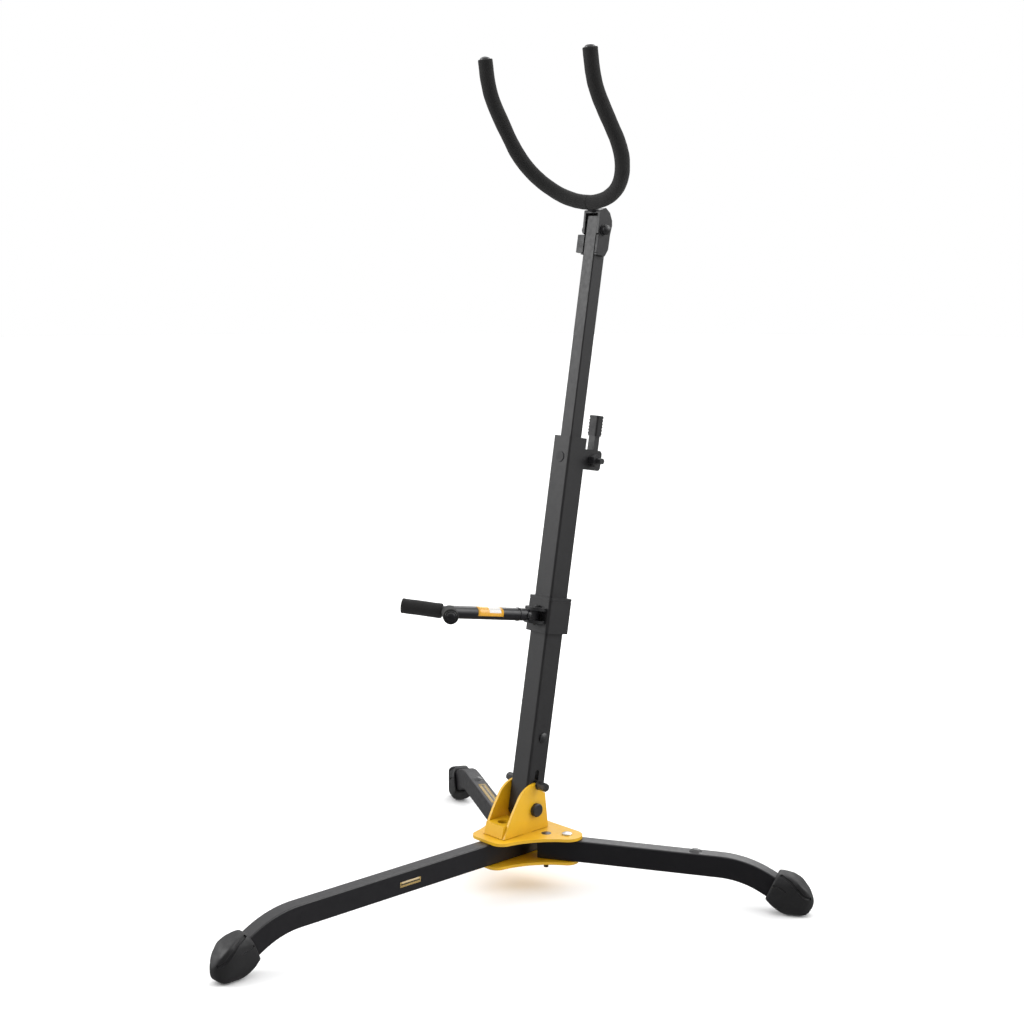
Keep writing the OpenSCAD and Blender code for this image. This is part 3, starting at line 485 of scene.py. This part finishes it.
def foam_sleeve(name, path, start, end, bore, body, node, start_edge):
    """Foam tube along a path with rounded ends and a hollow for its cap at the far end."""
    steps, end_wave = 5, 0.3
    corner = [math.pi / 2 * i / steps for i in range(steps + 1)]
    stations = [(start, bore, 0)]
    for turn in corner:
        along, inset = start_edge * (1 - math.cos(turn)), start_edge * (1 - math.sin(turn))
        stations.append((start + along, FOAM_R - inset, end_wave))
    first, last = start + start_edge + STATION, end - FOAM_EDGE - STATION
    count = max(2, round((last - first) / STATION))
    for i in range(count + 1):
        stations.append((first + (last - first) * i / count, FOAM_R, 1))
    for turn in corner:
        along, inset = FOAM_EDGE * (1 - math.sin(turn)), FOAM_EDGE * (1 - math.cos(turn))
        stations.append((end - along, FOAM_R - inset, end_wave))
    stations.append((end, CAP_R + CAP_GAP, 0))
    stations.append((end - CAP_DEPTH, CAP_R + CAP_GAP, 0))
    stations.append((end - CAP_DEPTH, bore, 0))
    made = piece(name, sweep(path, stations, wave=FOAM_WAVE), "foam", body, [node])


def yoke_sleeves():
    """Foam on the two halves of the yoke, which meet in the middle."""
    bore = ROD_R + BORE_GAP
    for side, name in ((1, "yoke_sleeve_right"), (-1, "yoke_sleeve_left")):
        path = yoke_path(side)
        foam_sleeve(name, path, YOKE_START, path.length, bore, "yoke", "yoke_foam", YOKE_START_EDGE)


def prong_place(side):
    """Frame of one cradle prong: origin at the fork, z along the prong."""
    fork = ARM_PIN - COLUMN_BACK * FORK_REACH
    z = -COLUMN_BACK * math.cos(PRONG_ANGLE) + RIGHT * side * math.sin(PRONG_ANGLE)
    return frame_matrix(fork, COLUMN_UP, z)


def cradle_sleeves():
    """Foam on the two prongs of the cradle."""
    bore = PRONG_R + BORE_GAP
    for side, name in ((1, "cradle_sleeve_right"), (-1, "cradle_sleeve_left")):
        place = prong_place(side)
        ends = [place @ Vector((0, 0, PRONG_START)), place @ Vector((0, 0, PRONG_L))]
        path = Path([ends[0], (ends[0] + ends[1]) / 2, ends[1]], COLUMN_UP)
        foam_sleeve(name, path, 0.0, path.length, bore, "arm", "cradle_foam", PRONG_START_EDGE)


CAP_CENTRE_R = 0.0002                       # the small flat that closes a cap in its middle
YOKE_CAP = (CAP_R - 0.0004, 0.0028)         # radius and height of a cap's dome
CRADLE_CAP = (CAP_R - 0.0016, 0.0010)


def cap_profile(dome_r, rise):
    """Side of an end cap: a rim with a soft corner, a fine groove and a dome inside it."""
    corner, corner_h, rim_h, groove = 0.0002, 0.0005, 0.0003, 0.0001
    profile = [(CAP_CENTRE_R, 0.0), (CAP_R, 0.0), (CAP_R, CAP_DEPTH - corner_h),
               (CAP_R - corner, CAP_DEPTH), ((CAP_R + dome_r) / 2, CAP_DEPTH + rim_h),
               (dome_r, CAP_DEPTH - groove)]
    steps = 10
    for i in range(steps + 1):
        turn = math.pi / 2 * i / steps
        radius = max(CAP_CENTRE_R, (dome_r - corner) * math.cos(turn))
        profile.append((radius, CAP_DEPTH + rise * math.sin(turn)))
    return profile


def end_caps():
    """Glossy caps in the ends of the four sleeves."""
    yoke = yoke_place()
    for side, name in ((1, "yoke_cap_right"), (-1, "yoke_cap_left")):
        tip = horn_end_place() @ Matrix.Translation((0, 0, HORN_TIP - CAP_DEPTH))
        place = yoke @ Matrix.Diagonal((side, 1, 1, 1)) @ tip
        piece(name, lathe(cap_profile(*YOKE_CAP), place), "gloss_black", "yoke", ["yoke_caps"])
    for side, name in ((1, "cradle_cap_right"), (-1, "cradle_cap_left")):
        place = prong_place(side) @ Matrix.Translation((0, 0, PRONG_L - CAP_DEPTH))
        piece(name, lathe(cap_profile(*CRADLE_CAP), place), "gloss_black", "arm", ["cradle_caps"])


# ---------------------------------------------------------------- printed films

ARM_FILM_R = 0.0066             # radius the label is wrapped at, just outside the arm
ARM_FILM_T = 0.00012
ARM_FILM_SPAN = (0.0515, 0.086)     # along the arm, from its pin
ARM_FILM_TURN = (math.radians(-20), math.radians(80))       # round the arm, from its right side up
MARK_LIFT = 0.00004             # how far a flat film lies off the leg
MARK_T = 0.00008
FRONT_MARK = (0.026, 0.0055)    # length and height of the print on the front leg
FRONT_MARK_AHEAD = 0.162        # from the fold axis
FRONT_MARK_UP = 0.0412          # above the floor
LEFT_MARK = (0.068, 0.0085)     # length and width of the print on the left leg
LEFT_MARK_AHEAD = 0.081         # from the leg's hinge


def film_grid(across, along, point):
    """Open grid of quads with UVs. point(u, v) gives the place of each corner, u and v from 0 to 1."""
    bm = bmesh.new()
    uv_layer = bm.loops.layers.uv.new("UVMap")
    rows = []
    for i in range(along + 1):
        rows.append([bm.verts.new(point(i / along, j / across)) for j in range(across + 1)])
    for i in range(along):
        for j in range(across):
            face = bm.faces.new((rows[i][j], rows[i + 1][j], rows[i + 1][j + 1], rows[i][j + 1]))
            for loop, (u, v) in zip(face.loops, ((i, j), (i + 1, j), (i + 1, j + 1), (i, j + 1))):
                loop[uv_layer].uv = (u / along, v / across)
    return bm


def thicken(obj, thickness):
    """Gives a sheet its thickness, away from what it lies on."""
    solid = obj.modifiers.new("thickness", "SOLIDIFY")
    solid.thickness = thickness
    solid.offset = 1


def arm_film():
    """Label wrapped round the upper right of the cradle arm."""
    start, end = ARM_FILM_SPAN
    low, high = ARM_FILM_TURN

    def point(u, v):
        turn = low + (high - low) * v
        out = RIGHT * math.cos(turn) + COLUMN_UP * math.sin(turn)
        return ARM_PIN - COLUMN_BACK * (start + (end - start) * u) + out * ARM_FILM_R

    made = piece("arm_film", film_grid(16, 8, point), "label", "arm", ["arm_label"])
    thicken(made, ARM_FILM_T)


def mark(name, body, place, length, width):
    """Flat printed film centred on the origin of a place, with its face along z."""
    def point(u, v):
        return place @ Vector(((u - 0.5) * length, (v - 0.5) * width, MARK_LIFT))

    made = piece(name, film_grid(2, 8, point), "label", body, material=PRINT_GOLD)
    thicken(made, MARK_T)


def leg_marks():
    """Plain gold frames where two of the legs carry print, with no lettering."""
    middle = Vector((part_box("front_leg")[1].x, FOLD_AXIS.y - FRONT_MARK_AHEAD, FRONT_MARK_UP))
    mark("front_leg_mark", "hub", frame_matrix(middle, Vector((0, 1, 0)), RIGHT), *FRONT_MARK)
    pivot = Vector(JOINTS["left_leg_fold"]["pos_m"])
    ahead = boot_place("left_foot").to_3x3() @ RIGHT
    middle = pivot + ahead * LEFT_MARK_AHEAD
    middle.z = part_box("left_leg")[1].z
    mark("left_leg_mark", "left_leg", frame_matrix(middle, ahead, UP), *LEFT_MARK)


# ---------------------------------------------------------------- boots

BOOT_GRID = 0.0010          # size of the squares that a boot's skin is made of
BOOT_ROUNDS = 24            # how often the skin is smoothed, and how much each time
BOOT_SMOOTHING = 0.6
BOOT_SHARP = 35             # in degrees: edges sharper than this stay sharp
BOOT_WELD = 0.00001         # corners closer than this become one
BESIDE_BOOT = 0.03          # distance from a boot's middle that is outside its side
# Grooves in a boot's sides: radius, then points (along the leg, up) from where the boot stands.
CAP_GROOVE = (0.0017, [(-0.0125, 0.0425), (0.0010, 0.0356), (0.0075, 0.0285),
                       (0.0127, 0.0226), (0.0175, 0.0195), (0.0205, 0.0190)])
HEEL_GROOVE = (0.0012, [(-0.0185, 0.0312), (-0.0090, 0.0285), (-0.0025, 0.0250)])


def boot_place(node):
    """Frame on the floor under a boot's contact point, with x along its leg."""
    contacts = {mount["name"]: Vector(mount["pos_m"]) for mount in frame["record"]["mounts"]}
    foot = contacts[node + "_contact"]
    start = FOLD_AXIS
    if node != "front_foot":
        start = Vector(JOINTS[node.replace("foot", "leg_fold")]["pos_m"])
    ahead = Vector((foot.x - start.x, foot.y - start.y, 0)).normalized()
    return frame_matrix(foot, ahead, UP)


def on_side(skin, place, x, z, side):
    """Point of a boot's skin at x along its leg and z up. side is 1 or -1."""
    inward = place.to_3x3() @ Vector((0, -side, 0))
    return skin.ray_cast(place @ Vector((x, side * BESIDE_BOOT, z)), inward)[0]


def add_groove(bm, skin, place, radius, line, side):
    """Adds a round cutting bar that lies in a boot's skin along a line."""
    steps = 6
    points = []
    for start, end in zip(line, line[1:]):
        for i in range(steps):
            share = i / steps
            x, z = (start[k] + (end[k] - start[k]) * share for k in range(2))
            points.append(on_side(skin, place, x, z, side))
    # Rays that miss the boot give no point.
    points = [point for point in points if point is not None]
    path = Path(points, place.to_3x3() @ Vector((0, 1, 0)))
    count = len(points)
    stations = [(path.length * i / count, radius, 0) for i in range(count + 1)]
    bar = sweep(path, stations, segments=10)
    mesh = bpy.data.meshes.new("groove")
    bar.to_mesh(mesh)
    bar.free()
    bm.from_mesh(mesh)
    bpy.data.meshes.remove(mesh)


def groove_cutter(skin, place):
    """Object made of the cutting bars of all the grooves in one boot."""
    bm = bmesh.new()
    for side in (-1, 1):
        for radius, line in (CAP_GROOVE, HEEL_GROOVE):
            add_groove(bm, skin, place, radius, line, side)
    bmesh.ops.recalc_face_normals(bm, faces=bm.faces)
    mesh = bpy.data.meshes.new("grooves")
    bm.to_mesh(mesh)
    bm.free()
    cutter = bpy.data.objects.new("grooves", mesh)
    bpy.context.scene.collection.objects.link(cutter)
    return cutter


def cut(obj, cutter):
    """Takes a cutter's volume away from an object, and the cutter from the scene."""
    cutting = obj.modifiers.new("grooves", "BOOLEAN")
    cutting.operation = "DIFFERENCE"
    cutting.solver = "EXACT"
    cutting.use_self = True
    cutting.object = cutter
    apply_modifiers(obj)
    bpy.data.objects.remove(cutter)


def soft_copy(node, body):
    """Piece with the shape of a CAD node, its edges and corners softened."""
    bm = bmesh.new()
    bm.from_mesh(NODES[node].data)
    bmesh.ops.remove_doubles(bm, verts=bm.verts, dist=BOOT_WELD)
    made = piece(node + "_moulded", bm, "rubber", body, [node])
    even = made.modifiers.new("even", "REMESH")
    even.mode = "VOXEL"
    even.voxel_size = BOOT_GRID
    soft = made.modifiers.new("soft", "SMOOTH")
    soft.factor = BOOT_SMOOTHING
    soft.iterations = BOOT_ROUNDS
    apply_modifiers(made)
    return made


def boots():
    """Moulded boots: the CAD boots' shapes with soft edges and grooves in their sides."""
    for node, body in (("front_foot", "hub"), ("right_foot", "right_leg"), ("left_foot", "left_leg")):
        made = soft_copy(node, body)
        skin = BVHTree.FromObject(made, bpy.context.evaluated_depsgraph_get())
        cut(made, groove_cutter(skin, boot_place(node)))
        smooth_by_angle(made, BOOT_SHARP)


# ---------------------------------------------------------------- studio

FLOOR_R = 12
FLOOR_GAP = 0.0002          # between the boots and the floor under them
# Soft square lights: place from the middle of the stand, side and power.
LAMPS = {
    "key_light": (Vector((-1.5, -1.7, 1.2)), 1.5, 22),
    "rim_light": (Vector((-0.9, 1.9, 1.1)), 1.5, 14),
}


def studio():
    """Pale floor, white world and two soft lights."""
    low, high = CAD_BOX
    centre = (low + high) / 2
    bm = bmesh.new()
    bmesh.ops.create_circle(bm, cap_ends=True, radius=FLOOR_R, segments=64)
    mesh = bpy.data.meshes.new("floor")
    bm.to_mesh(mesh)
    bm.free()
    floor = bpy.data.objects.new("floor", mesh)
    floor.location = (centre.x, centre.y, low.z - FLOOR_GAP)
    bpy.context.scene.collection.objects.link(floor)
    paint = Shader("floor_paint", 0.9, Specular_IOR_Level=0.1)
    paint.colour(paint.mix(paint.noise(3, 2), (0.90, 0.90, 0.90), (0.93, 0.93, 0.93)))
    mesh.materials.append(paint.material)
    floor.visible_glossy = False

    bpy.context.scene.world = sky()
    for name, (offset, size, power) in LAMPS.items():
        lamp = bpy.data.lights.new(name, "AREA")
        lamp.shape = "SQUARE"
        lamp.size = size
        lamp.energy = power
        place = bpy.data.objects.new(name, lamp)
        place.location = centre + offset
        place.rotation_euler = (-offset).to_track_quat("-Z", "Y").to_euler()
        bpy.context.scene.collection.objects.link(place)


WHITE = (1, 1, 1, 1)
# Light from above: direction, the two cosines between which it grows, and its strength at each.
OVERHEAD = ((0, 0, 1), -0.15, 0.9, 0.25, 1.5)
# Parts of the surroundings that are darker or brighter than the rest: direction, the two cosines
# between which it fades in, and its share of the light there.
PANELS = (
    ((0.72, -0.68, 0.0), 0.35, 0.98, 0.25),      # dark flag behind the camera
    ((0.68, 0.64, 0.36), 0.84, 0.98, 4.5),       # bright panel behind the stand's right side
    ((-0.70, -0.66, 0.24), 0.84, 0.98, 3.2),     # bright panel in front of the stand's left side
)


def sky():
    """White world whose light is strongest overhead, with dark and bright panels round the stand."""
    world = bpy.data.worlds.new("studio")
    world.use_nodes = True
    nodes, links = world.node_tree.nodes, world.node_tree.links
    direction = nodes.new("ShaderNodeTexCoord").outputs["Generated"]

    def facing(towards, low, high, to_low, to_high):
        """Strength that rises smoothly as the direction turns towards a given one."""
        dot = nodes.new("ShaderNodeVectorMath")
        dot.operation = "DOT_PRODUCT"
        dot.inputs[1].default_value = Vector(towards).normalized()
        ramp = nodes.new("ShaderNodeMapRange")
        ramp.interpolation_type = "SMOOTHSTEP"
        for socket, number in zip(RANGE_SOCKETS, (low, high, to_low, to_high)):
            ramp.inputs[socket].default_value = number
        links.new(direction, dot.inputs[0])
        links.new(dot.outputs["Value"], ramp.inputs["Value"])
        return ramp.outputs["Result"]

    level = facing(*OVERHEAD)
    for towards, low, high, share in PANELS:
        changed = nodes.new("ShaderNodeMath")
        changed.operation = "MULTIPLY"
        links.new(level, changed.inputs[0])
        links.new(facing(towards, low, high, 1.0, share), changed.inputs[1])
        level = changed.outputs["Value"]
    light = nodes["Background"]
    links.new(level, light.inputs["Strength"])
    light.inputs["Color"].default_value = WHITE
    seen = nodes.new("ShaderNodeBackground")
    seen.inputs["Color"].default_value = WHITE
    either = nodes.new("ShaderNodeMixShader")
    links.new(nodes.new("ShaderNodeLightPath").outputs["Is Camera Ray"], either.inputs["Fac"])
    links.new(light.outputs["Background"], either.inputs[1])
    links.new(seen.outputs["Background"], either.inputs[2])
    links.new(either.outputs["Shader"], nodes["World Output"].inputs["Surface"])
    return world


CAMERA_YAW = math.radians(46.82)        # looking this far to the left of straight back
CAMERA_PITCH = math.radians(8.66)       # looking down
CAMERA_OFFSET = Vector((1.24424, -1.18594, 0.57174))        # from the fold axis
CAMERA_LENS = 60.25                     # in mm, on a sensor 36 mm wide


def camera():
    """Camera at the photograph's viewing angle."""
    level = math.cos(CAMERA_PITCH)
    ahead = Vector((-math.sin(CAMERA_YAW) * level, math.cos(CAMERA_YAW) * level, -math.sin(CAMERA_PITCH)))
    data = bpy.data.cameras.new("camera")
    data.sensor_width = 36
    data.lens = CAMERA_LENS
    made = bpy.data.objects.new("camera", data)
    made.location = FOLD_AXIS + CAMERA_OFFSET
    made.rotation_euler = ahead.to_track_quat("-Z", "Y").to_euler()
    bpy.context.scene.collection.objects.link(made)
    bpy.context.scene.camera = made


bpy.context.scene.view_settings.view_transform = "Standard"
finish_cad_nodes()
yoke_sleeves()
cradle_sleeves()
end_caps()
arm_film()
leg_marks()
boots()
studio()
camera()
